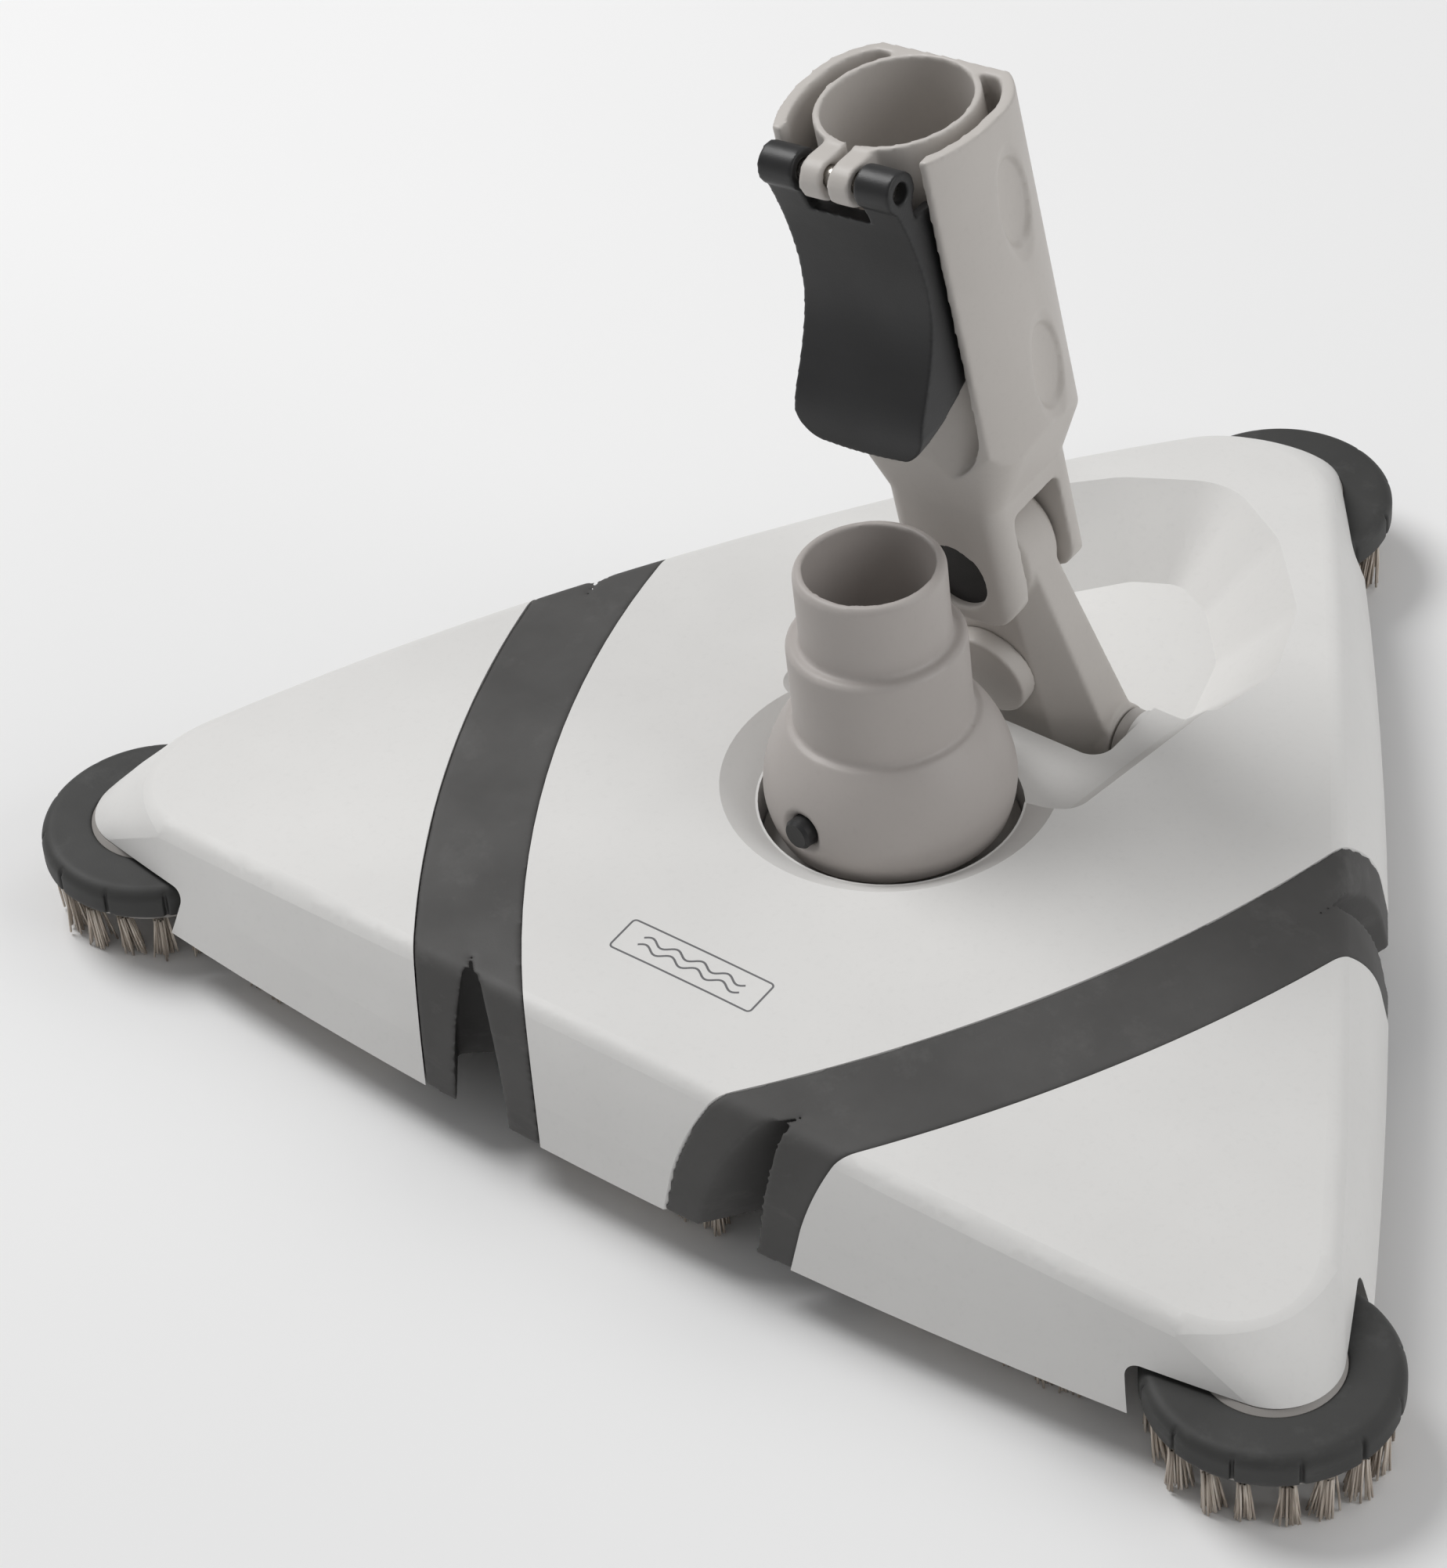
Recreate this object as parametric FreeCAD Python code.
import FreeCAD, Part

import math
import os

# Manual pool vacuum head: a triangular weighted body with two hinged wings,
# three free-spinning corner brush wheels, a swivelling and tilting hose
# connector, and a swinging arm that carries a cam-lever pole socket.
#
# Millimetres, +Z up, +Y towards the rear wheel. The model is laid out from
# the swivel axis of the hose connector, with Z = 0 at the bristle tips, and
# save() moves it so that the origin is the middle of the footprint.

os.makedirs("parts", exist_ok=True)

V = FreeCAD.Vector
X_AXIS = V(1, 0, 0)
Y_AXIS = V(0, 1, 0)
Z_AXIS = V(0, 0, 1)
CENTRE = V(0, 0, 0)

# ---------------------------------------------------------------- body size
WHEEL_HALF_SPACING = 144.0
WHEEL_FRONT_Y = -76.5
WHEEL_REAR_Y = 153.0
BUMPER_RADIUS = 25.8
SIDE_BULGE = 26.5
SKIRT_Z = 11.6
CAP_Z = 22.2
CROWN_Z = 48.0
DOME_RADIUS = 1050.0
TOP_Z = 45.5
SHOULDER_FILLET = 5.0
WALL = 3.0
RUBBER_WALL = 4.5

FOOTPRINT_FRONT_Y = WHEEL_FRONT_Y - SIDE_BULGE
FOOTPRINT_REAR_Y = WHEEL_REAR_Y + BUMPER_RADIUS
ORIGIN_SHIFT = V(0, -(FOOTPRINT_FRONT_Y + FOOTPRINT_REAR_Y) / 2, 0)

# -------------------------------------------------------------- flex bands
BAND_CENTRE_X = -177.0
BAND_CENTRE_Y = 86.0
BAND_INNER_RADIUS = 270.0
BAND_OUTER_RADIUS = 292.5
BAND_GAP = 0.2
NOTCH_HALF_WIDTH = 5.4
NOTCH_TOP_HALF_WIDTH = 2.2
NOTCH_TOP_Z = 40.5
NOTCH_WALL = 2.6
FRONT_NOTCH_TIP = V(43.0, -88.0, 0)
SIDE_NOTCH_TIP = V(94.0, 12.0, 0)
NOTCH_LENGTH = 45.0

# ------------------------------------------------------------ brush wheels
WHEEL_CLEAR_RADIUS = 28.4
BUMPER_TOP_Z = 21.0
BUMPER_BOTTOM_Z = 13.5
BUMPER_INNER_RADIUS = 14.4
BUMPER_GROOVES = 12
HUB_RADIUS = 14.4
HUB_TOP_Z = 21.9
HUB_PLATE_RADIUS = 23.2
HUB_PLATE_BOTTOM_Z = 11.5
AXLE_RADIUS = 3.0
AXLE_HEAD_RADIUS = 5.5
AXLE_DEPTH = 4.6
RUNNING_GAP = 0.06
WHEEL_TUFTS = 18
WHEEL_TUFT_CIRCLE = 20.9
TUFT_RADIUS = 1.9
TUFT_FLARE = 2.2

# -------------------------------------------------------------- base plates
BASE_BOTTOM_Z = 12.0
BASE_TOP_Z = 14.4
BASE_INSET = 4.5
BASE_SCREW_RADIUS = 1.5
TUFT_PITCH = 7.0

# ------------------------------------------------------ hose connector parts
PIVOT_Z = 47.0
DOME_BALL_RADIUS = 27.0
DOME_EDGE_Z = 36.0
DOME_SHOULDER_RADIUS = 20.6
DOME_WALL = 3.0
STEP_ONE_RADIUS = 16.0
STEP_TWO_RADIUS = 19.0
CUFF_TOP_Z = 100.7
CUFF_MIDDLE_Z = 83.0
CUFF_BOTTOM_Z = 62.5
HOSE_BORE_RADIUS = 13.8
CUFF_TILT = 3.2
PIN_AZIMUTH = 262.0
SNAP_PIN_RADIUS = 3.4
SNAP_PIN_REACH = 27.6
TURRET_BALL_RADIUS = 23.6
WELL_RADIUS = 28.3
WELL_WALL = 2.6
DISH_LIP_Z = 39.8
TURRET_FLANGE_BOTTOM_Z = 26.0
TURRET_FLANGE_TOP_Z = 29.5
TURRET_NECK_RADIUS = 21.6
SEAT_BOTTOM_Z = 22.8
TURRET_NECK_BOTTOM_Z = 18.6
THROAT_RADIUS = 17.4
THROAT_BORE_RADIUS = 15.0

# ------------------------------------------------------------- arm and socket
ARM_PIVOT = V(0, 53.5, 29.0)
ARM_BARREL_RADIUS = 7.0
ARM_PIN_RADIUS = 4.0
ARM_HALF_WIDTH = 23.6
ARM_FOOT_Z = 29.5
ARM_FOOT_HALF_DEPTH = 11.0
ARM_BOSS_Z = 49.5
ARM_BOSS_THICKNESS = 4.6
ARM_BUSH_RADIUS = 5.4
BUSH_FLANGE_RADIUS = 6.6
ARM_BOSS_FACE_X = 27.0
TILT_PIVOT = V(0, 39.4, 82.5)
LEAN = 4.2
TILT = 7.2
HEAD_RADIUS = 13.2
HEAD_HALF_WIDTH = 7.4
TILT_PIN_RADIUS = 4.0
NECK_HALF_WIDTH = 14.5
NECK_HALF_DEPTH = 14.0
TONGUE_GAP = 8.0
FORK_TOP = 15.5
PIN_RECESS_RADIUS = 8.0
PIN_RECESS_Y = 10.4
TONGUE_END = -11.0
SOCKET_TOP = 110.5
SOCKET_BORE_RADIUS = 15.5
COLLAR_RADIUS = 17.05
BORE_DEPTH = 66.0
FLARE_LOW = 20.0
FLARE_HIGH = 38.0
BACK_FLAT_Y = 16.7
SHELL_HALF_WIDTH = 23.3
SHELL_WALL = 2.8
LEVER_PIN_S = 106.5
LEVER_PIN_Y = -21.9
LEVER_PIN_RADIUS = 2.2
LEVER_PIN_GAP = 0.02
EAR_FRONT_Y = -26.2
EAR_INNER = 0.9
EAR_OUTER = 6.1
KNUCKLE_INNER = 7.6
LEVER_HALF_WIDTH = 16.2
KNUCKLE_RADIUS = 4.4

# Opening through the top of the centre shell for the arm.
POCKET_HALF_WIDTH = 25.5
POCKET_FRONT_Y = 37.5
POCKET_REAR_Y = 67.0
POCKET_FLOOR_Z = 17.6
BASIN_MIDDLE_Y = 85.0

BIG = 400.0


# ------------------------------------------------------------------- helpers
def save(name, shape):
    """Write one node, moved to the footprint origin."""
    placed = shape.copy()
    placed.translate(ORIGIN_SHIFT)
    placed.exportStep("parts/%s.step" % name)
    if not placed.isValid():
        print("not valid:", name)
    print("%-26s %2d solids %9.0f mm3" % (name, len(placed.Solids), placed.Volume))


def cylinder(radius, low, high, x=0.0, y=0.0):
    """Upright cylinder between two heights."""
    return Part.makeCylinder(radius, high - low, V(x, y, low), Z_AXIS)


def tube(outer, inner, low, high, x=0.0, y=0.0):
    """Upright tube between two heights."""
    body = cylinder(outer, low, high, x, y)
    return body.cut(cylinder(inner, low - 1, high + 1, x, y))


def rod(radius, start, end):
    """Cylinder between two points."""
    line = end.sub(start)
    return Part.makeCylinder(radius, line.Length, start, line)


def box(x0, x1, y0, y1, z0, z1):
    """Box given by its limits."""
    return Part.makeBox(x1 - x0, y1 - y0, z1 - z0, V(x0, y0, z0))


def mirror_x(shape):
    """Left-hand copy of a right-hand shape."""
    return shape.mirror(CENTRE, X_AXIS)


def revolve(profile):
    """Turn a closed outline of (radius, height) points about the Z axis."""
    points = [V(r, 0, z) for r, z in profile]
    points.append(points[0])
    return Part.Face(Part.makePolygon(points)).revolve(CENTRE, Z_AXIS, 360)


def prism_yz(points, half_width):
    """Outline of (y, z) points extruded equally to both sides in X."""
    corners = [V(-half_width, y, z) for y, z in points]
    corners.append(corners[0])
    return Part.Face(Part.makePolygon(corners)).extrude(V(2 * half_width, 0, 0))


def solids(shapes):
    """Separate solids kept together in one node."""
    return Part.makeCompound(shapes)


def rounded_polygon(points, radii, z):
    """Closed wire through (x, y) corners, each rounded by its own radius."""
    corners = [V(x, y, z) for x, y in points]
    count = len(corners)
    entries = []
    exits = []
    middles = []
    for i in range(count):
        here = corners[i]
        back = corners[i - 1].sub(here)
        ahead = corners[(i + 1) % count].sub(here)
        back.normalize()
        ahead.normalize()
        half = back.getAngle(ahead) / 2
        reach = radii[i] / math.tan(half)
        bisector = back.add(ahead)
        bisector.normalize()
        entries.append(here.add(back * reach))
        exits.append(here.add(ahead * reach))
        middles.append(here.add(bisector * (radii[i] / math.sin(half) - radii[i])))
    edges = []
    for i in range(count):
        following = (i + 1) % count
        edges.append(Part.Arc(entries[i], middles[i], exits[i]).toShape())
        edges.append(Part.LineSegment(exits[i], entries[following]).toShape())
    return Part.Wire(edges)


# ---------------------------------------------------------------- body solid
WHEELS = {
    "right": V(WHEEL_HALF_SPACING, WHEEL_FRONT_Y, 0),
    "rear": V(0, WHEEL_REAR_Y, 0),
    "left": V(-WHEEL_HALF_SPACING, WHEEL_FRONT_Y, 0),
}


# Outline of the body at four levels. Each row is the height, how far the
# front side stands out from the line between its wheels at the middle and at
# the wheels, the same for the rear sides, and the corner radius.
SKIRT_LEVEL = (SKIRT_Z, (SIDE_BULGE, 17.4), (23.6, 17.8), 17.4)
CAP_LEVEL = (CAP_Z, (24.9, 13.4), (22.0, 14.0), 13.5)
WAIST_LEVEL = (33.0, (21.7, 9.8), (18.6, 10.2), 25.0)
CROWN_LEVEL = (CROWN_Z, (11.2, 3.2), (4.4, 0.6), 41.0)


def circle_crossing(a, radius_a, b, radius_b, near):
    """The crossing of two circles that lies nearer to a point."""
    between = b.sub(a)
    span = between.Length
    between.normalize()
    across = V(-between.y, between.x, 0)
    run = (span ** 2 + radius_a ** 2 - radius_b ** 2) / (2 * span)
    rise = math.sqrt(radius_a ** 2 - run ** 2)
    foot = a.add(between * run)
    choices = [foot.add(across * rise), foot.sub(across * rise)]
    choices.sort(key=lambda p: p.sub(near).Length)
    return choices[0]


def side_bow(start, end, middle_reach, end_reach):
    """Centre and radius of the arc along one side."""
    middle = (start + end) * 0.5
    along = end.sub(start)
    half = along.Length / 2
    outward = V(along.y, -along.x, 0)
    outward.normalize()
    rise = middle_reach - end_reach
    radius = (half ** 2 + rise ** 2) / (2 * rise)
    return middle.add(outward * (middle_reach - radius)), radius


def body_outline(level, inset):
    """Triangle with bowed sides and round corners, moved inwards by inset."""
    z, front, rear, corner = level
    corner_radius = corner - inset
    corners = [WHEELS["right"], WHEELS["rear"], WHEELS["left"]]
    bows = []
    for i in range(3):
        middle_reach, end_reach = front if i == 0 else rear
        bows.append(side_bow(corners[i - 1], corners[i], middle_reach - inset, end_reach - inset))
    arcs = []
    for i in range(3):
        before, before_radius = bows[i]
        after, after_radius = bows[(i + 1) % 3]
        centre = circle_crossing(before, before_radius - corner_radius,
                                 after, after_radius - corner_radius, corners[i])
        ends = []
        for bow, radius in (bows[i], bows[(i + 1) % 3]):
            direction = centre.sub(bow)
            direction.normalize()
            ends.append(bow.add(direction * radius))
        outward = V(centre)
        outward.normalize()
        arcs.append((ends[0], centre.add(outward * corner_radius), ends[1]))
    edges = []
    for i in range(3):
        start, tip, end = arcs[i]
        following = arcs[(i + 1) % 3][0]
        bow, radius = bows[(i + 1) % 3]
        reach = ((end + following) * 0.5).sub(bow)
        reach.normalize()
        edges.append(Part.Arc(start, tip, end).toShape())
        edges.append(Part.Arc(end, bow.add(reach * radius), following).toShape())
    wire = Part.Wire(edges)
    wire.translate(V(0, 0, z))
    return wire


def body_solid(inset, top_z, shoulder):
    """Body form moved inwards by inset, under a shallow dome."""
    skirt = body_outline(SKIRT_LEVEL, inset)
    cap = body_outline(CAP_LEVEL, inset)
    waist = body_outline(WAIST_LEVEL, inset)
    crown = body_outline(CROWN_LEVEL, inset)
    lower = Part.makeLoft([skirt, cap], True, True)
    upper = Part.makeLoft([cap, waist, crown], True, False)
    ball_centre = V(0, 0, top_z - DOME_RADIUS)
    ball = Part.makeSphere(DOME_RADIUS, ball_centre)
    ball.rotate(ball_centre, X_AXIS, 90)
    upper = upper.common(ball).Solids[0]
    if shoulder > 0:
        upper = upper.makeFillet(shoulder, rim_edges(upper, ball_centre))
    return lower.fuse(upper).removeSplitter()


def rim_edges(form, ball_centre):
    """Edges between the side walls and the domed top."""
    rim = []
    for edge in form.Edges:
        middle = edge.valueAt((edge.FirstParameter + edge.LastParameter) / 2)
        if abs(middle.sub(ball_centre).Length - DOME_RADIUS) < 0.01:
            rim.append(edge)
    return rim


def wheel_clearance(centre, radius, top_z):
    """Space over a brush wheel, with a rounded top edge."""
    space = cylinder(radius, -1, top_z, centre.x, centre.y)
    top = [e for e in space.Edges if e.BoundBox.ZMin > top_z - 0.01]
    return space.makeFillet(3.0, top)


def turret_recess(grow):
    """Shallow dish round the foot of the hose connector."""
    lip = WELL_RADIUS + 0.5
    return revolve([(0, DISH_LIP_Z - grow), (lip + grow, DISH_LIP_Z - grow), (38.5 + grow, 46.5), (0, 46.5)])


def apron_recess(grow):
    """Lowered apron between the dish and the arm."""
    low = rounded_polygon(
        [(-31 - grow, 16), (31 + grow, 16), (37 + grow, 66 + grow), (-37 - grow, 66 + grow)],
        [4, 4, 5, 5], 36.0 - grow)
    high = rounded_polygon(
        [(-41 - grow, 8), (41 + grow, 8), (50 + grow, 72 + grow), (-50 - grow, 72 + grow)],
        [8, 8, 9, 9], 48.0)
    return Part.makeLoft([low, high], True, True)


def rear_basin(grow):
    """Deep basin that the arm and socket lie back into."""
    def ring(right_half, radii, z):
        scale = 1 + grow / 45.0
        points = [(x, BASIN_MIDDLE_Y + (y - BASIN_MIDDLE_Y) * scale) for x, y in right_half]
        points = [(x * scale, y) for x, y in points]
        mirrored = [(-x, y) for x, y in reversed(points) if x > 0]
        return rounded_polygon(points + mirrored, radii, z)

    low = ring([(25, 62), (27, 75), (22, 92), (10, 106), (0, 111)], [4, 6, 8, 8, 6, 8, 8, 6, 4], 21.5 - grow)
    high = ring([(49, 54), (54, 77), (46, 101), (27, 126), (0, 146)],
                [5, 14, 16, 16, 16, 16, 16, 14, 5], 48.0)
    return Part.makeLoft([low, high], True, True)


def arm_pocket(grow):
    """Deep slot for the foot of the arm."""
    reach = POCKET_HALF_WIDTH + grow
    flare = reach + 4.0
    low = rounded_polygon(
        [(-reach, POCKET_FRONT_Y - grow), (reach, POCKET_FRONT_Y - grow),
         (reach, POCKET_REAR_Y + grow), (-reach, POCKET_REAR_Y + grow)],
        [3, 3, 3, 3], POCKET_FLOOR_Z - grow)
    high = rounded_polygon(
        [(-flare, POCKET_FRONT_Y - 1 - grow), (flare, POCKET_FRONT_Y - 1 - grow),
         (flare, POCKET_REAR_Y + grow), (-flare, POCKET_REAR_Y + grow)],
        [6, 6, 4, 4], 44.0)
    return Part.makeLoft([low, high], True, True)


def top_hollows(grow):
    """Everything sunk into the top of the centre shell."""
    shape = turret_recess(grow)
    for other in (apron_recess(grow), rear_basin(grow), arm_pocket(grow)):
        shape = shape.fuse(other)
    return shape


def band_cylinder(radius, side):
    """Upright cylinder whose wall is one edge of a flex band."""
    return cylinder(radius, -5, 60, side * BAND_CENTRE_X, BAND_CENTRE_Y)


def notch_prism(tip, grow):
    """Arched notch that lets the end of a right-hand band fold."""
    radius = tip.sub(V(BAND_CENTRE_X, BAND_CENTRE_Y, 0))
    radius.normalize()
    along = V(-radius.y, radius.x, 0)
    if along.dot(tip) < 0:
        along = along * -1
    half = NOTCH_HALF_WIDTH + grow
    top_half = NOTCH_TOP_HALF_WIDTH + grow
    shoulder = NOTCH_TOP_Z - NOTCH_TOP_HALF_WIDTH
    start = tip.sub(along * grow)
    bow = (half + top_half) / 2 + 0.5

    def at(side, z):
        return start.add(radius * side).add(V(0, 0, z))

    edges = [
        Part.LineSegment(at(-half - 0.6, -2), at(half + 0.6, -2)).toShape(),
        Part.LineSegment(at(half + 0.6, -2), at(half, SKIRT_Z)).toShape(),
        Part.Arc(at(half, SKIRT_Z), at(bow, 27), at(top_half, shoulder)).toShape(),
        Part.Arc(at(top_half, shoulder), at(0, shoulder + top_half), at(-top_half, shoulder)).toShape(),
        Part.Arc(at(-top_half, shoulder), at(-bow, 27), at(-half, SKIRT_Z)).toShape(),
        Part.LineSegment(at(-half, SKIRT_Z), at(-half - 0.6, -2)).toShape(),
    ]
    return Part.Face(Part.Wire(edges)).extrude(along * (NOTCH_LENGTH + grow))


# ------------------------------------------------------------ body assembly
def shell_blank():
    """Outer form of the whole body, and the room inside its walls."""
    outer = body_solid(0, TOP_Z, SHOULDER_FILLET)
    inner = body_solid(WALL, TOP_Z - WALL, 0)
    return outer, inner


def wheel_boss(centre, outer):
    """Post under the corner cap that the wheel bolt screws into."""
    return cylinder(7.0, CAP_Z, CROWN_Z, centre.x, centre.y).common(outer)


def bolt_hole(centre):
    """Threaded hole in the post, as a plain cylinder."""
    return cylinder(AXLE_RADIUS, CAP_Z - 1, CAP_Z + AXLE_DEPTH + 0.3, centre.x, centre.y)


def centre_region():
    """Space between the inner edges of both bands."""
    return band_cylinder(BAND_INNER_RADIUS, 1).common(band_cylinder(BAND_INNER_RADIUS, -1))


def build_centre_shell(outer, inner):
    """Centre section of the top shell, with the well, pocket and basin."""
    hollows = top_hollows(0)
    grown = top_hollows(WALL)
    well_wall = cylinder(WELL_RADIUS + WELL_WALL, SEAT_BOTTOM_Z, 42)
    shell = outer.cut(inner.cut(grown).cut(well_wall))
    shell = shell.cut(hollows)
    shell = shell.common(centre_region())
    rear = WHEELS["rear"]
    shell = shell.cut(wheel_clearance(rear, WHEEL_CLEAR_RADIUS, CAP_Z))
    shell = shell.cut(cylinder(WELL_RADIUS, TURRET_FLANGE_BOTTOM_Z, 60))
    shell = shell.cut(cylinder(TURRET_NECK_RADIUS + 0.4, -1, 40))
    shell = shell.fuse(wheel_boss(rear, outer)).cut(bolt_hole(rear))
    for side in (-1, 1):
        shell = shell.fuse(arm_line(7.0, side * ARM_BOSS_FACE_X, side * (ARM_BOSS_FACE_X + 6.0)))
    shell = shell.cut(arm_line(ARM_BUSH_RADIUS, -ARM_BOSS_FACE_X - 2.4, ARM_BOSS_FACE_X + 2.4))
    shell = shell.cut(arm_line(BUSH_FLANGE_RADIUS + 0.15, -ARM_BOSS_FACE_X, ARM_BOSS_FACE_X))
    for x, y in BASE_SCREWS["centre"]:
        shell = shell.fuse(tube(4.0, BASE_SCREW_RADIUS, BASE_TOP_Z, 27, x, y))
    return largest(shell)


BASE_SCREWS = {
    "centre": [(-14, -86), (14, -86), (-52, 52), (52, 52), (-34, 100), (34, 100)],
    "right": [(74.5, -81), (103, -81), (112, -22)],
}


def arm_line(radius, x0, x1):
    """Cylinder on the arm's swing axis."""
    return rod(radius, ARM_PIVOT.add(X_AXIS * x0), ARM_PIVOT.add(X_AXIS * x1))


def largest(shape):
    """Main solid of a shape, without slivers left by a cut."""
    return sorted(shape.removeSplitter().Solids, key=lambda s: s.Volume)[-1]


def build_wing_shell(outer, inner):
    """Right-hand wing shell."""
    shell = outer.cut(inner)
    shell = shell.cut(band_cylinder(BAND_OUTER_RADIUS + BAND_GAP, 1))
    centre = WHEELS["right"]
    shell = shell.cut(wheel_clearance(centre, WHEEL_CLEAR_RADIUS, CAP_Z))
    shell = shell.fuse(wheel_boss(centre, outer)).cut(bolt_hole(centre))
    for x, y in BASE_SCREWS["right"]:
        post = tube(4.0, BASE_SCREW_RADIUS, BASE_TOP_Z, 39, x, y)
        shell = shell.fuse(post.common(outer))
    return largest(shell)


def build_flex_band(outer, inner_band):
    """Right-hand rubber band with a lined notch at each end."""
    region = band_cylinder(BAND_OUTER_RADIUS, 1).cut(band_cylinder(BAND_INNER_RADIUS, 1))
    notches = notch_prism(FRONT_NOTCH_TIP, 0).fuse(notch_prism(SIDE_NOTCH_TIP, 0))
    liners = notch_prism(FRONT_NOTCH_TIP, NOTCH_WALL).fuse(notch_prism(SIDE_NOTCH_TIP, NOTCH_WALL))
    band = outer.common(region).cut(inner_band.cut(liners)).cut(notches)
    return largest(band)


def base_plate_blank():
    """Flat plate that fits inside the skirt."""
    outline = body_outline(SKIRT_LEVEL, BASE_INSET)
    outline.translate(V(0, 0, BASE_BOTTOM_Z - SKIRT_Z))
    plate = Part.Face(outline).extrude(V(0, 0, BASE_TOP_Z - BASE_BOTTOM_Z))
    for centre in WHEELS.values():
        plate = plate.cut(cylinder(WHEEL_CLEAR_RADIUS + 2.0, 0, 40, centre.x, centre.y))
    return plate


def drill(plate, places, radius):
    """Screw holes through a base plate."""
    for x, y in places:
        plate = plate.cut(cylinder(radius, 0, BASE_TOP_Z + 1, x, y))
    return plate


def countersunk_screws(places):
    """Self-tapping screws, head up into the underside of a base plate."""
    made = []
    for x, y in places:
        head = cylinder(3.2, BASE_BOTTOM_Z - 1.4, BASE_BOTTOM_Z, x, y)
        shank = cylinder(BASE_SCREW_RADIUS, BASE_BOTTOM_Z - 0.1, BASE_TOP_Z + 9.0, x, y)
        slot = box(x - 2.4, x + 2.4, y - 0.4, y + 0.4, BASE_BOTTOM_Z - 2, BASE_BOTTOM_Z - 0.7)
        made.append(head.fuse(shank).cut(slot).removeSplitter())
    return solids(made)


def tuft(root, tip, root_radius, tip_radius):
    """One bundle of bristles."""
    line = tip.sub(root)
    return Part.makeCone(root_radius, tip_radius, line.Length, root, line)


def tuft_row(start, end):
    """Bristle bundles along a straight line under a base plate."""
    run = end.sub(start)
    count = int(round(run.Length / TUFT_PITCH)) + 1
    made = []
    for i in range(count):
        foot = start.add(run * (i / (count - 1)))
        root = V(foot.x, foot.y, BASE_BOTTOM_Z)
        tip = V(foot.x, foot.y, 0)
        made.append(tuft(root, tip, TUFT_RADIUS, TUFT_RADIUS + 0.5))
    return solids(made)


def side_line(offset, low, high):
    """Two points along the right-hand side, outside the line of the wheels."""
    start = WHEELS["right"]
    run = WHEELS["rear"].sub(start)
    run.normalize()
    outward = V(run.y, -run.x, 0) * offset
    return start.add(run * low).add(outward), start.add(run * high).add(outward)


def build_centre_base():
    """Bottom plate of the centre section, with the suction port."""
    inside = band_cylinder(BAND_INNER_RADIUS - 2.0, 1).common(band_cylinder(BAND_INNER_RADIUS - 2.0, -1))
    plate = base_plate_blank().common(inside)
    plate = plate.cut(cylinder(THROAT_RADIUS, 0, 40))
    return drill(plate, BASE_SCREWS["centre"], BASE_SCREW_RADIUS + 0.1).removeSplitter()


def build_wing_base():
    """Bottom plate of the right-hand wing."""
    plate = base_plate_blank().cut(band_cylinder(BAND_OUTER_RADIUS + 2.0, 1))
    return drill(largest(plate), BASE_SCREWS["right"], BASE_SCREW_RADIUS + 0.1).removeSplitter()


def build_suction_throat():
    """Flanged sleeve through the bottom plate, under the turret."""
    return revolve([
        (THROAT_BORE_RADIUS + 1.5, BASE_BOTTOM_Z - 1.2),
        (THROAT_RADIUS + 3.0, BASE_BOTTOM_Z - 1.2),
        (THROAT_RADIUS + 3.6, BASE_BOTTOM_Z - 0.6),
        (THROAT_RADIUS + 3.6, BASE_BOTTOM_Z),
        (THROAT_RADIUS, BASE_BOTTOM_Z),
        (THROAT_RADIUS, TURRET_NECK_BOTTOM_Z - 0.4),
        (THROAT_BORE_RADIUS, TURRET_NECK_BOTTOM_Z - 0.4),
        (THROAT_BORE_RADIUS, BASE_BOTTOM_Z + 0.3),
    ])


def build_centre_ballast():
    """Cast weight under the front of the centre section."""
    outline = rounded_polygon([(-20, -79), (20, -79), (27, -38), (-27, -38)], [4, 4, 5, 5], BASE_TOP_Z)
    return Part.Face(outline).extrude(V(0, 0, 15.0))


def build_wing_ballast():
    """Cast weight inside the right-hand wing."""
    slug = cylinder(14.0, BASE_TOP_Z, BASE_TOP_Z + 14.0, 98, -62)
    return slug.makeChamfer(1.2, [e for e in slug.Edges if isinstance(e.Curve, Part.Circle)])


# ----------------------------------------------------------- brush wheels
def build_bumper(centre):
    """Grooved rubber tyre of a corner wheel."""
    ring = cylinder(BUMPER_RADIUS, BUMPER_BOTTOM_Z, BUMPER_TOP_Z)
    top = [e for e in ring.Edges if e.BoundBox.ZMin > BUMPER_TOP_Z - 0.01]
    ring = ring.makeFillet(3.0, top)
    low = [e for e in ring.Edges if e.BoundBox.ZMax < BUMPER_BOTTOM_Z + 0.01]
    ring = ring.makeFillet(1.2, low)
    ring = ring.cut(cylinder(BUMPER_INNER_RADIUS, 0, 40))
    for i in range(BUMPER_GROOVES):
        groove = box(BUMPER_RADIUS - 1.1, BUMPER_RADIUS + 2, -0.45, 0.45, 0, 40)
        groove.rotate(CENTRE, Z_AXIS, 360.0 / BUMPER_GROOVES * (i + 0.5))
        ring = ring.cut(groove)
    ring.translate(centre)
    return ring


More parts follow.
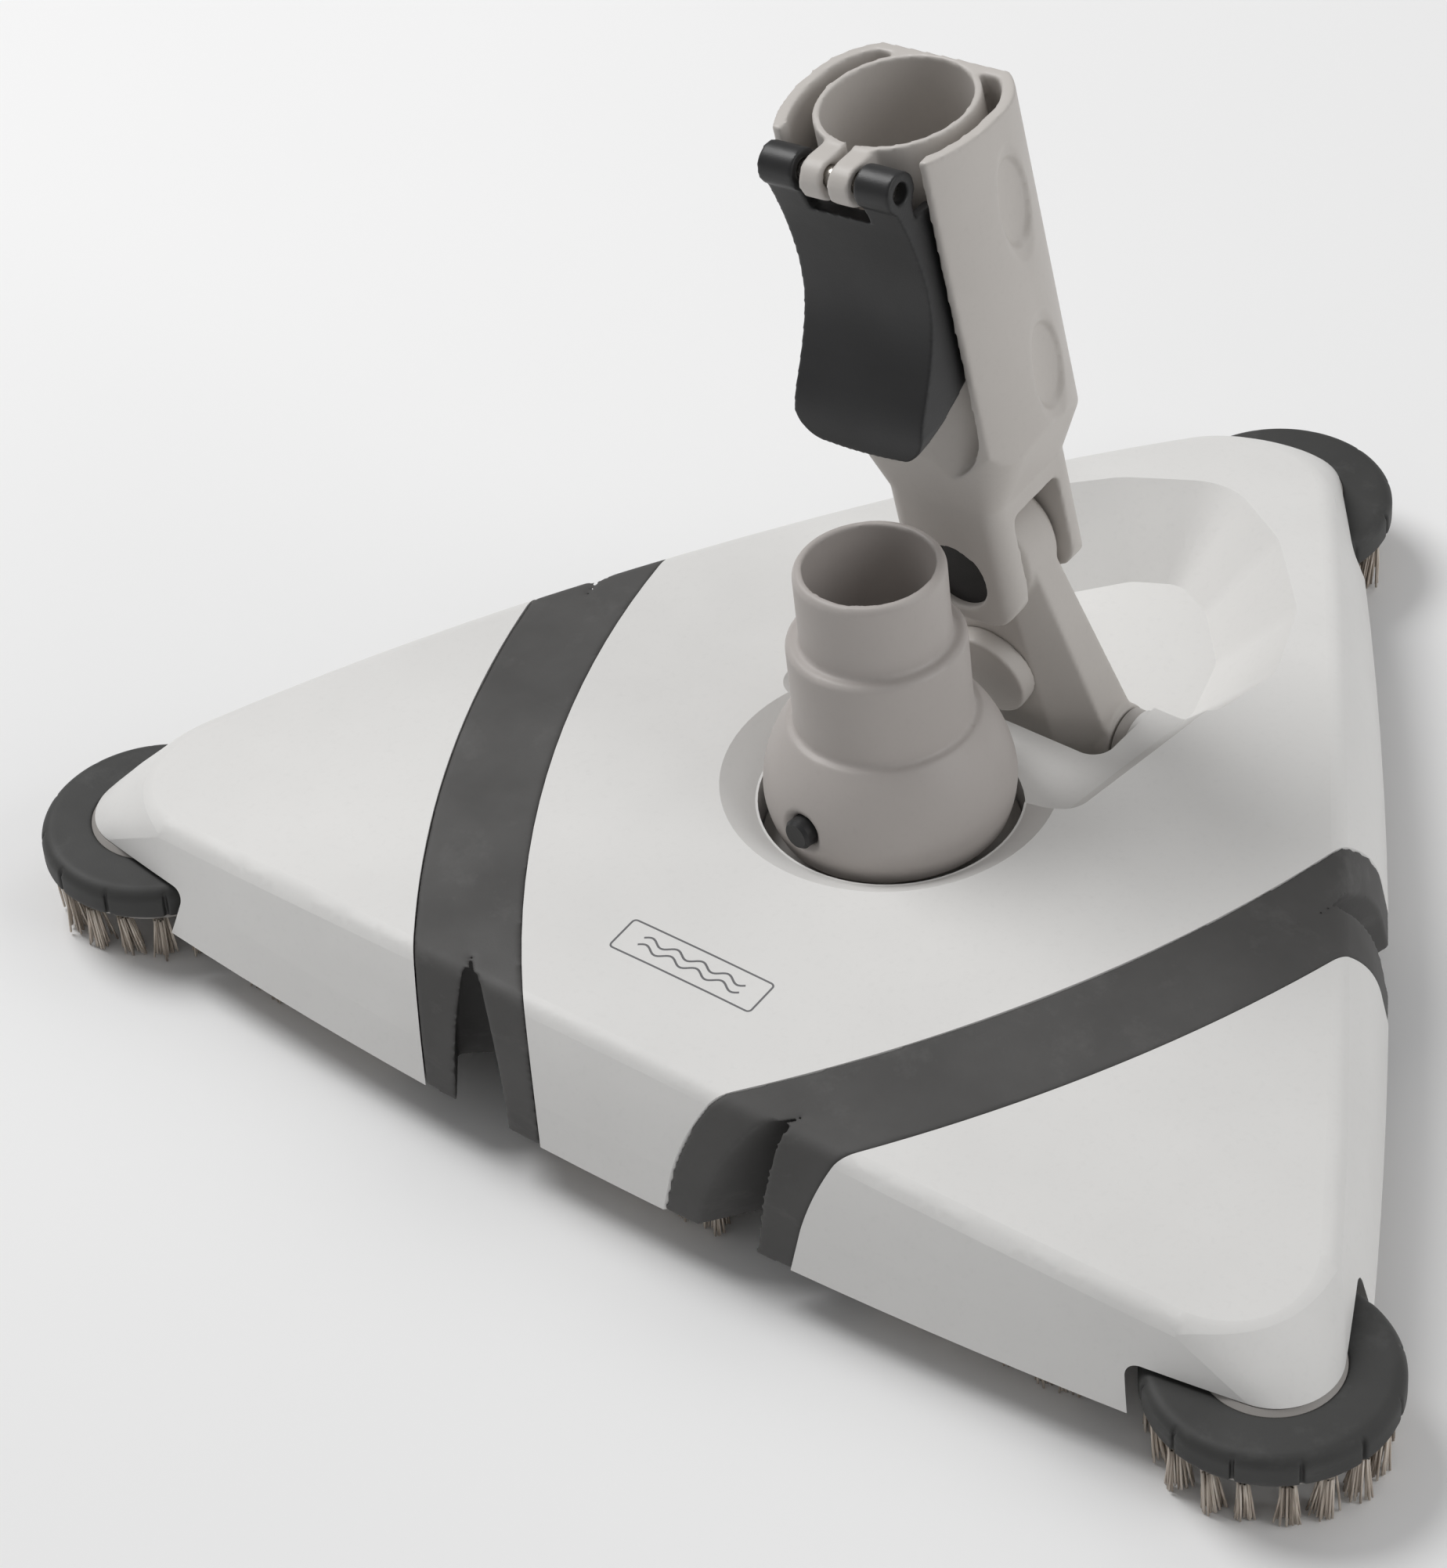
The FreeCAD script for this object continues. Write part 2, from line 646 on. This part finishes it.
def build_hub(centre):
    """Wheel hub with the plate that holds the bristles."""
    bore = AXLE_RADIUS + RUNNING_GAP
    head_room = AXLE_HEAD_RADIUS + 1.0
    head_top = HUB_PLATE_BOTTOM_Z + 2.0
    hub = revolve([
        (head_room, HUB_PLATE_BOTTOM_Z),
        (HUB_PLATE_RADIUS, HUB_PLATE_BOTTOM_Z),
        (HUB_PLATE_RADIUS, BUMPER_BOTTOM_Z),
        (HUB_RADIUS, BUMPER_BOTTOM_Z),
        (HUB_RADIUS, HUB_TOP_Z - 1.0),
        (HUB_RADIUS - 1.0, HUB_TOP_Z),
        (bore, HUB_TOP_Z),
        (bore, head_top),
        (head_room, head_top),
    ])
    hub.translate(centre)
    return hub


def build_wheel_tufts(centre, bears_load):
    """Flared bristle bundles under a wheel; every sixth one bears the load."""
    made = []
    for i in range(WHEEL_TUFTS):
        if (i % 6 == 0) != bears_load:
            continue
        angle = 2 * math.pi * (i + 0.5) / WHEEL_TUFTS
        outward = V(math.cos(angle), math.sin(angle), 0)
        root = outward * WHEEL_TUFT_CIRCLE
        tip = outward * (WHEEL_TUFT_CIRCLE + TUFT_FLARE)
        foot = V(root.x, root.y, HUB_PLATE_BOTTOM_Z - 0.4)
        made.append(tuft(foot, V(tip.x, tip.y, 0.5), TUFT_RADIUS, TUFT_RADIUS + 0.6))
    group = solids(made)
    group.translate(centre)
    return group


def build_wheel_bolt(centre):
    """Shoulder bolt that the wheel turns on."""
    head_top = HUB_PLATE_BOTTOM_Z + 1.7
    shaft = cylinder(AXLE_RADIUS, head_top, CAP_Z + AXLE_DEPTH)
    head = cylinder(AXLE_HEAD_RADIUS, head_top - 3.0, head_top)
    socket = cylinder(2.2, head_top - 4.0, head_top - 1.2)
    bolt = head.fuse(shaft).cut(socket)
    bolt.translate(centre)
    return bolt


# --------------------------------------------------------- hose connector
def build_turret():
    """Swivelling inner ball with a flange that sits in the shell's well."""
    flare_z = PIVOT_Z - 2.0
    top_z = PIVOT_Z + 8.0
    ball = Part.makeSphere(TURRET_BALL_RADIUS, V(0, 0, PIVOT_Z))
    ball = ball.common(cylinder(BIG, TURRET_FLANGE_TOP_Z, top_z))
    flange = cylinder(WELL_RADIUS - 0.5, TURRET_FLANGE_BOTTOM_Z + 0.3, TURRET_FLANGE_TOP_Z)
    neck = cylinder(TURRET_NECK_RADIUS, TURRET_NECK_BOTTOM_Z, TURRET_FLANGE_TOP_Z)
    turret = ball.fuse(flange).fuse(neck)
    turret = turret.cut(cylinder(THROAT_BORE_RADIUS, 0, flare_z))
    turret = turret.cut(Part.makeCone(THROAT_BORE_RADIUS, 20.8, top_z - flare_z, V(0, 0, flare_z)))
    turret = turret.cut(rod(SNAP_PIN_RADIUS, V(-30, 0, PIVOT_Z), V(30, 0, PIVOT_Z)))
    return turret.removeSplitter()


def build_snap_pins():
    """Two spring pins that carry the connector on the turret."""
    made = []
    for side in (-1, 1):
        pin = rod(SNAP_PIN_RADIUS, V(side * 19.0, 0, PIVOT_Z), V(side * SNAP_PIN_REACH, 0, PIVOT_Z))
        tip = V(side * SNAP_PIN_REACH, 0, PIVOT_Z)
        nose = Part.makeCone(SNAP_PIN_RADIUS, SNAP_PIN_RADIUS - 0.6, 0.8, tip, V(side, 0, 0))
        made.append(pin.fuse(nose).removeSplitter())
    return solids(made)


def dome_outline():
    """Outer line of the connector's dome: a ball below, drawn in towards the cuff above."""
    shoulder_z = CUFF_BOTTOM_Z
    join_z = PIVOT_Z - 3.0
    rise = shoulder_z - join_z
    height = rise / math.sqrt(1 - (DOME_SHOULDER_RADIUS / DOME_BALL_RADIUS) ** 2)
    points = []
    for i in range(4):
        z = DOME_EDGE_Z + (join_z - DOME_EDGE_Z) * i / 4
        points.append(V(math.sqrt(DOME_BALL_RADIUS ** 2 - (z - PIVOT_Z) ** 2), 0, z))
    for i in range(1, 9):
        z = join_z + rise * i / 8
        points.append(V(DOME_BALL_RADIUS * math.sqrt(1 - ((z - join_z) / height) ** 2), 0, z))
    curve = Part.BSplineCurve()
    curve.interpolate(points)
    return curve.toShape(), points[0], points[-1]


def build_connector():
    """Stepped hose cuff on a hollow dome, with a dimpled hole at each pin."""
    side_line, foot, shoulder = dome_outline()
    inner_foot = V(0, 0, foot.z)
    inner_shoulder = V(0, 0, shoulder.z)
    outline = Part.Wire([
        Part.LineSegment(inner_foot, foot).toShape(),
        side_line,
        Part.LineSegment(shoulder, inner_shoulder).toShape(),
        Part.LineSegment(inner_shoulder, inner_foot).toShape(),
    ])
    dome = Part.Face(outline).revolve(CENTRE, Z_AXIS, 360)
    dome = dome.makeFillet(0.8, [e for e in dome.Edges if e.BoundBox.ZMin > shoulder.z - 0.01 and e.Closed])
    cuff = revolve([
        (0, PIVOT_Z),
        (STEP_TWO_RADIUS + 0.1, PIVOT_Z),
        (STEP_TWO_RADIUS + 0.1, CUFF_BOTTOM_Z),
        (STEP_TWO_RADIUS, CUFF_BOTTOM_Z + 0.4),
        (STEP_TWO_RADIUS, CUFF_MIDDLE_Z - 1.0),
        (STEP_TWO_RADIUS - 1.0, CUFF_MIDDLE_Z),
        (STEP_ONE_RADIUS + 0.1, CUFF_MIDDLE_Z),
        (STEP_ONE_RADIUS, CUFF_MIDDLE_Z + 0.4),
        (STEP_ONE_RADIUS, CUFF_TOP_Z - 1.2),
        (STEP_ONE_RADIUS - 0.8, CUFF_TOP_Z),
        (0, CUFF_TOP_Z),
    ])
    connector = dome.fuse(cuff)
    hollow = Part.makeSphere(DOME_BALL_RADIUS - DOME_WALL, V(0, 0, PIVOT_Z))
    hollow = hollow.common(cylinder(BIG, 0, PIVOT_Z + 13.4))
    hollow = hollow.fuse(cylinder(DOME_BALL_RADIUS - DOME_WALL - 1.0, DOME_EDGE_Z - 1, PIVOT_Z - 4.0))
    connector = connector.cut(hollow).cut(cylinder(HOSE_BORE_RADIUS, 0, CUFF_TOP_Z + 1))
    for side in (-1, 1):
        hole = rod(SNAP_PIN_RADIUS + RUNNING_GAP, V(side * 20.0, 0, PIVOT_Z), V(side * 30.0, 0, PIVOT_Z))
        dimple = Part.makeCone(SNAP_PIN_RADIUS + 0.6, 7.0, 2.6, V(side * 25.4, 0, PIVOT_Z), V(side, 0, 0))
        connector = connector.cut(hole).cut(dimple)
    return connector.removeSplitter()


def aim_connector(shape, tilted):
    """Turn a connector part to its resting swivel, and tilt it if it tilts."""
    placed = shape.copy()
    if tilted:
        placed.rotate(V(0, 0, PIVOT_Z), X_AXIS, -CUFF_TILT)
    placed.rotate(CENTRE, Z_AXIS, PIN_AZIMUTH - 180.0)
    return placed


def build_retaining_ring():
    """Ring pressed on the turret's neck, under the seat of the well."""
    return tube(27.0, TURRET_NECK_RADIUS, SEAT_BOTTOM_Z - 4.0, SEAT_BOTTOM_Z - 0.3)


def build_turret_seal():
    """Lip seal between the turret's neck and the suction throat."""
    return tube(21.0, THROAT_RADIUS, BASE_TOP_Z, TURRET_NECK_BOTTOM_Z - 0.4)


# --------------------------------------------------------------------- arm
def octagon(centre_y, half_width, face_half, half_depth, side_half, z):
    """Eight-sided section of the arm."""
    points = [
        (-face_half, centre_y - half_depth),
        (face_half, centre_y - half_depth),
        (half_width, centre_y - side_half),
        (half_width, centre_y + side_half),
        (face_half, centre_y + half_depth),
        (-face_half, centre_y + half_depth),
        (-half_width, centre_y + side_half),
        (-half_width, centre_y - side_half),
    ]
    corners = [V(x, y, z) for x, y in points]
    corners.append(corners[0])
    return Part.makePolygon(corners)


def build_arm():
    """A-shaped arm: barrel at the foot, round head at the top."""
    y = ARM_PIVOT.y
    knee = octagon(y, ARM_HALF_WIDTH, 12.0, 9.2, 5.2, ARM_FOOT_Z - 4.0)
    foot = octagon(y, ARM_HALF_WIDTH, 12.0, ARM_FOOT_HALF_DEPTH, 5.2, ARM_FOOT_Z)
    neck = octagon(TILT_PIVOT.y, HEAD_RADIUS, 7.5, HEAD_HALF_WIDTH, 3.6, TILT_PIVOT.z)
    lower = Part.makeLoft([knee, foot], True, True)
    blade = Part.makeLoft([foot, neck], True, True)
    barrel = arm_line(ARM_BARREL_RADIUS, -ARM_HALF_WIDTH, ARM_HALF_WIDTH)
    head = Part.makeCylinder(HEAD_RADIUS, 2 * HEAD_HALF_WIDTH, V(0, -HEAD_HALF_WIDTH, 0), Y_AXIS)
    head = head.makeChamfer(2.6, [e for e in head.Edges if isinstance(e.Curve, Part.Circle)])
    arm = blade.fuse(lower).fuse(barrel).fuse(lean_only(head))
    arm = arm.cut(arm_line(ARM_PIN_RADIUS + RUNNING_GAP, -40, 40))
    bore = Part.makeCylinder(TILT_PIN_RADIUS + RUNNING_GAP, 60, V(0, -30, 0), Y_AXIS)
    rear_slab = box(-60, 60, HEAD_HALF_WIDTH, 60, -16, 40)
    front_slab = box(-60, 60, -60, -HEAD_HALF_WIDTH, -16, 40)
    for away in (bore, rear_slab, front_slab):
        arm = arm.cut(lean_only(away))
    return arm.removeSplitter()


def lean_only(shape):
    """Place a part built round the tilt pivot with the arm's lean."""
    placed = shape.copy()
    placed.rotate(CENTRE, X_AXIS, LEAN)
    placed.translate(TILT_PIVOT)
    return placed


def place_socket(shape):
    """Place a socket part: tilted on the pivot, then leaning with the arm."""
    placed = shape.copy()
    placed.rotate(CENTRE, Y_AXIS, -TILT)
    return lean_only(placed)


# ------------------------------------------------------------------ socket
def shell_outline():
    """D-shaped outline of the pole socket: flat back, bulging sides."""
    front = -16.5
    wide = SHELL_HALF_WIDTH
    return Part.Wire([
        Part.LineSegment(V(-15.6, BACK_FLAT_Y, 0), V(15.6, BACK_FLAT_Y, 0)).toShape(),
        Part.Arc(V(15.6, BACK_FLAT_Y, 0), V(21.2, 10.8, 0), V(wide, 2, 0)).toShape(),
        Part.Arc(V(wide, 2, 0), V(22.5, -8, 0), V(18.9, front, 0)).toShape(),
        Part.LineSegment(V(18.9, front, 0), V(-18.9, front, 0)).toShape(),
        Part.Arc(V(-18.9, front, 0), V(-22.5, -8, 0), V(-wide, 2, 0)).toShape(),
        Part.Arc(V(-wide, 2, 0), V(-21.2, 10.8, 0), V(-15.6, BACK_FLAT_Y, 0)).toShape(),
    ])


def column(wire, low, high):
    """Outline drawn at height 0, extruded between two heights."""
    base = wire.copy()
    base.translate(V(0, 0, low))
    return Part.Face(base).extrude(V(0, 0, high - low))


def finger_dimple(side, s):
    """Long shallow dimple in the side of the socket."""
    scale = FreeCAD.Matrix()
    scale.scale(2.2, 5.6, 14.5)
    dimple = Part.makeSphere(1.0).transformGeometry(scale)
    dimple.translate(V(side * 23.9, 2.5, s))
    return dimple


def block_outline(half_width, half_depth, corner, s):
    """Rounded rectangle about the socket's axis."""
    points = [(-half_width, -half_depth), (half_width, -half_depth),
              (half_width, half_depth), (-half_width, half_depth)]
    return rounded_polygon(points, [corner] * 4, s)


def build_fork():
    """Neck with two tongues that straddle the arm's head."""
    neck = Part.Face(block_outline(NECK_HALF_WIDTH, NECK_HALF_DEPTH, 4.5, TONGUE_END))
    neck = neck.extrude(V(0, 0, FLARE_LOW - TONGUE_END))
    blank = box(-NECK_HALF_WIDTH, NECK_HALF_WIDTH, -15, 15, TONGUE_END, FLARE_LOW)
    low = [e for e in blank.Edges if e.BoundBox.ZMax < TONGUE_END + 0.01 and e.BoundBox.XLength < 0.01]
    fork = neck.common(blank.makeFillet(8.0, low))
    slot = box(-16, 16, -TONGUE_GAP, TONGUE_GAP, TONGUE_END - 1, FORK_TOP)
    corners = [e for e in slot.Edges if e.BoundBox.ZMin > FORK_TOP - 0.01 and e.BoundBox.YLength < 0.01]
    fork = fork.cut(slot.makeFillet(2.0, corners))
    fork = fork.cut(Part.makeCylinder(TILT_PIN_RADIUS, 40, V(0, -20, 0), Y_AXIS))
    for side in (-1, 1):
        recess = Part.makeCylinder(PIN_RECESS_RADIUS, 10, V(0, side * PIN_RECESS_Y, 0), Y_AXIS * side)
        fork = fork.cut(recess)
    return fork


def build_pole_socket():
    """Socket shell with its split inner collar, ears and forked neck."""
    outline = shell_outline()
    flare = Part.makeLoft([
        block_outline(NECK_HALF_WIDTH, NECK_HALF_DEPTH, 4.5, FLARE_LOW),
        block_outline(23.6, 17.2, 9.0, FLARE_HIGH),
    ], True, True)
    flare = flare.fuse(box(-30, 30, -30, 30, FLARE_HIGH, SOCKET_TOP + 1))
    body = column(outline, FLARE_LOW, SOCKET_TOP).common(flare)
    room = column(outline.makeOffset2D(-SHELL_WALL), 54.0, SOCKET_TOP + 1)
    core = cylinder(COLLAR_RADIUS, FLARE_LOW - 5, SOCKET_TOP + 2)
    body = body.cut(room.cut(core))
    window = box(-17.0, 17.0, -40, -9, 45, SOCKET_TOP + 1)
    window = window.fuse(Part.makeCylinder(17.0, 31, V(0, -40, 45), Y_AXIS))
    body = body.cut(window.cut(core))
    for side in (-1, 1):
        ear = box(EAR_INNER, EAR_OUTER, EAR_FRONT_Y, -15.0, LEVER_PIN_S - 5.2, SOCKET_TOP - 0.3)
        nose = [e for e in ear.Edges if e.BoundBox.YMax < EAR_FRONT_Y + 0.1 and e.BoundBox.ZLength < 0.01]
        ear = ear.makeFillet(4.4, nose)
        if side < 0:
            ear = mirror_x(ear)
        body = body.fuse(ear)
    body = body.fuse(build_fork())
    body = body.cut(cylinder(SOCKET_BORE_RADIUS, SOCKET_TOP - BORE_DEPTH, SOCKET_TOP + 1))
    body = body.cut(box(-EAR_INNER, EAR_INNER, -30, -12, 54, SOCKET_TOP + 1))
    pin_hole = LEVER_PIN_RADIUS + RUNNING_GAP
    body = body.cut(Part.makeCylinder(pin_hole, 30, V(-15, LEVER_PIN_Y, LEVER_PIN_S), X_AXIS))
    for side in (-1, 1):
        for s in (50.0, 90.0):
            body = body.cut(finger_dimple(side, s))
    return body.removeSplitter()


def curve_yz(points):
    """Smooth edge through (y, z) points at X = 0."""
    curve = Part.BSplineCurve()
    curve.interpolate([V(0, y, z) for y, z in points])
    return curve.toShape()


def build_cam_lever():
    """Cam lever: waisted thumb plate, side cheeks and two knuckles."""
    top = LEVER_PIN_S - 0.2
    outer = [(-25.6, top), (-22.8, 97.0), (-21.2, 88.0), (-21.2, 76.0),
             (-26.4, 63.0), (-31.6, 53.0), (-32.4, 46.0)]
    inner = [(-30.2, 46.4), (-29.3, 53.8), (-24.0, 64.2), (-18.9, 76.8), (-18.8, 88.0), (-18.6, top)]
    outline = Part.Wire([
        curve_yz(outer),
        Part.LineSegment(V(0, *outer[-1]), V(0, *inner[0])).toShape(),
        curve_yz(inner),
        Part.LineSegment(V(0, *inner[-1]), V(0, *outer[0])).toShape(),
    ])
    plate = Part.Face(outline).extrude(V(2 * LEVER_HALF_WIDTH, 0, 0))
    plate.translate(V(-LEVER_HALF_WIDTH, 0, 0))
    cheeks = prism_yz([(-20.0, 99.0), (-20.0, 77.0), (-25.0, 64.2), (-30.2, 54.0), (-31.0, 48.0),
                       (-15.0, 56.0), (-13.5, 61.0), (-13.5, 99.0)], LEVER_HALF_WIDTH)
    gap = LEVER_HALF_WIDTH - 2.4
    lever = plate.fuse(cheeks.cut(box(-gap, gap, -40, 0, 30, 120)))
    lever = lever.cut(box(-KNUCKLE_INNER, KNUCKLE_INNER, -40, 0, LEVER_PIN_S - 8.4, 140))
    for side in (-1, 1):
        start = V(side * KNUCKLE_INNER, LEVER_PIN_Y, LEVER_PIN_S)
        end = V(side * LEVER_HALF_WIDTH, LEVER_PIN_Y, LEVER_PIN_S)
        lever = lever.fuse(rod(KNUCKLE_RADIUS, start, end))
    lever = lever.cut(rod(LEVER_PIN_RADIUS + LEVER_PIN_GAP, V(-30, LEVER_PIN_Y, LEVER_PIN_S),
                          V(30, LEVER_PIN_Y, LEVER_PIN_S)))
    return lever.removeSplitter()


def build_lever_pin():
    """Steel pin through the ears and knuckles."""
    reach = LEVER_HALF_WIDTH - 2.8
    return rod(LEVER_PIN_RADIUS, V(-reach, LEVER_PIN_Y, LEVER_PIN_S), V(reach, LEVER_PIN_Y, LEVER_PIN_S))


def build_tilt_pin():
    """Pin that joins the socket's fork to the arm."""
    return Part.makeCylinder(TILT_PIN_RADIUS, 2 * PIN_RECESS_Y, V(0, -PIN_RECESS_Y, 0), Y_AXIS)


def build_tilt_plugs():
    """Recessed plugs that cover both ends of the tilt pin."""
    made = []
    for side in (-1, 1):
        made.append(Part.makeCylinder(PIN_RECESS_RADIUS, 1.6, V(0, side * PIN_RECESS_Y, 0), Y_AXIS * side))
    return solids(made)


def build_tilt_washers():
    """Slip washers between the arm's head and the tongues."""
    made = []
    for side in (-1, 1):
        start = V(0, side * (TONGUE_GAP - 0.3), 0)
        washer = Part.makeCylinder(9.0, 0.3, start, Y_AXIS * side)
        made.append(washer.cut(Part.makeCylinder(TILT_PIN_RADIUS + 0.02, 60, V(0, -30, 0), Y_AXIS)))
    return solids(made)


# ------------------------------------------------------------ arm small parts
def build_arm_boss():
    """Round cap on the front of the arm."""
    foot_front = ARM_PIVOT.y - ARM_FOOT_HALF_DEPTH
    neck_front = TILT_PIVOT.y - HEAD_HALF_WIDTH
    rise = TILT_PIVOT.z - ARM_FOOT_Z
    slope = math.degrees(math.atan2(foot_front - neck_front, rise))
    front = foot_front + (neck_front - foot_front) * (ARM_BOSS_Z - ARM_FOOT_Z) / rise
    cap = cylinder(10.6, 0, ARM_BOSS_THICKNESS)
    cap = cap.makeFillet(0.8, [e for e in cap.Edges if e.BoundBox.ZMin > ARM_BOSS_THICKNESS - 0.1])
    cap.rotate(CENTRE, X_AXIS, 90.0 + slope)
    cap.translate(V(0, front, ARM_BOSS_Z))
    return cap


def build_arm_pin():
    """Steel pin that the arm swings on."""
    return arm_line(ARM_PIN_RADIUS, -ARM_BOSS_FACE_X - 2.4, ARM_BOSS_FACE_X + 2.4)


def build_arm_bushes():
    """Flanged bushes between the pin and the pocket walls."""
    made = []
    for side in (-1, 1):
        flange = arm_line(BUSH_FLANGE_RADIUS, side * (ARM_HALF_WIDTH + 0.6), side * ARM_BOSS_FACE_X)
        sleeve = arm_line(ARM_BUSH_RADIUS, side * ARM_BOSS_FACE_X, side * (ARM_BOSS_FACE_X + 2.4))
        made.append(flange.fuse(sleeve).cut(build_arm_pin()).removeSplitter())
    return solids(made)


# ------------------------------------------------------------------ build all
def save_pair(name, right):
    """Save a right-hand part and its mirror image."""
    save("right_" + name, right)
    save("left_" + name, mirror_x(right))


OUTER, INNER = shell_blank()
save("centre_shell", build_centre_shell(OUTER, INNER))
save_pair("wing_shell", build_wing_shell(OUTER, INNER))
save_pair("flex_band", build_flex_band(OUTER, body_solid(RUBBER_WALL, TOP_Z - RUBBER_WALL, 0)))

save("centre_base", build_centre_base())
save("suction_throat", build_suction_throat())
save("turret_seal", build_turret_seal())
save("centre_base_screws", countersunk_screws(BASE_SCREWS["centre"]))
save("centre_ballast", build_centre_ballast())
save("centre_brush_front", tuft_row(V(-21, -92, 0), V(21, -92, 0)))
CENTRE_SIDE_ROW = tuft_row(*side_line(12.0, 134, 225))
save("centre_brush_right", CENTRE_SIDE_ROW)
save("centre_brush_left", mirror_x(CENTRE_SIDE_ROW))

save_pair("wing_base", build_wing_base())
save_pair("wing_screws", countersunk_screws(BASE_SCREWS["right"]))
save_pair("wing_ballast", build_wing_ballast())
save_pair("wing_brush_front", tuft_row(V(64, -89, 0), V(106, -89, 0)))
save_pair("wing_brush_side", tuft_row(*side_line(12.0, 39, 81)))

for place, middle in WHEELS.items():
    save(place + "_bumper_ring", build_bumper(middle))
    save(place + "_wheel_hub", build_hub(middle))
    save(place + "_wheel_bristles", build_wheel_tufts(middle, False))
    save(place + "_wheel_load_tufts", build_wheel_tufts(middle, True))
    save(place + "_wheel_bolt", build_wheel_bolt(middle))

save("swivel_turret", aim_connector(build_turret(), False))
save("turret_retaining_ring", build_retaining_ring())
save("connector_snap_pins", aim_connector(build_snap_pins(), False))
save("hose_connector", aim_connector(build_connector(), True))

save("swing_arm", build_arm())
save("arm_boss_cap", build_arm_boss())
save("arm_pivot_pin", build_arm_pin())
save("arm_pivot_bushes", build_arm_bushes())

save("pole_socket", place_socket(build_pole_socket()))
save("tilt_pin", place_socket(build_tilt_pin()))
save("tilt_pin_plugs", place_socket(build_tilt_plugs()))
save("tilt_washers", place_socket(build_tilt_washers()))
save("cam_lever", place_socket(build_cam_lever()))
save("lever_pin", place_socket(build_lever_pin()))
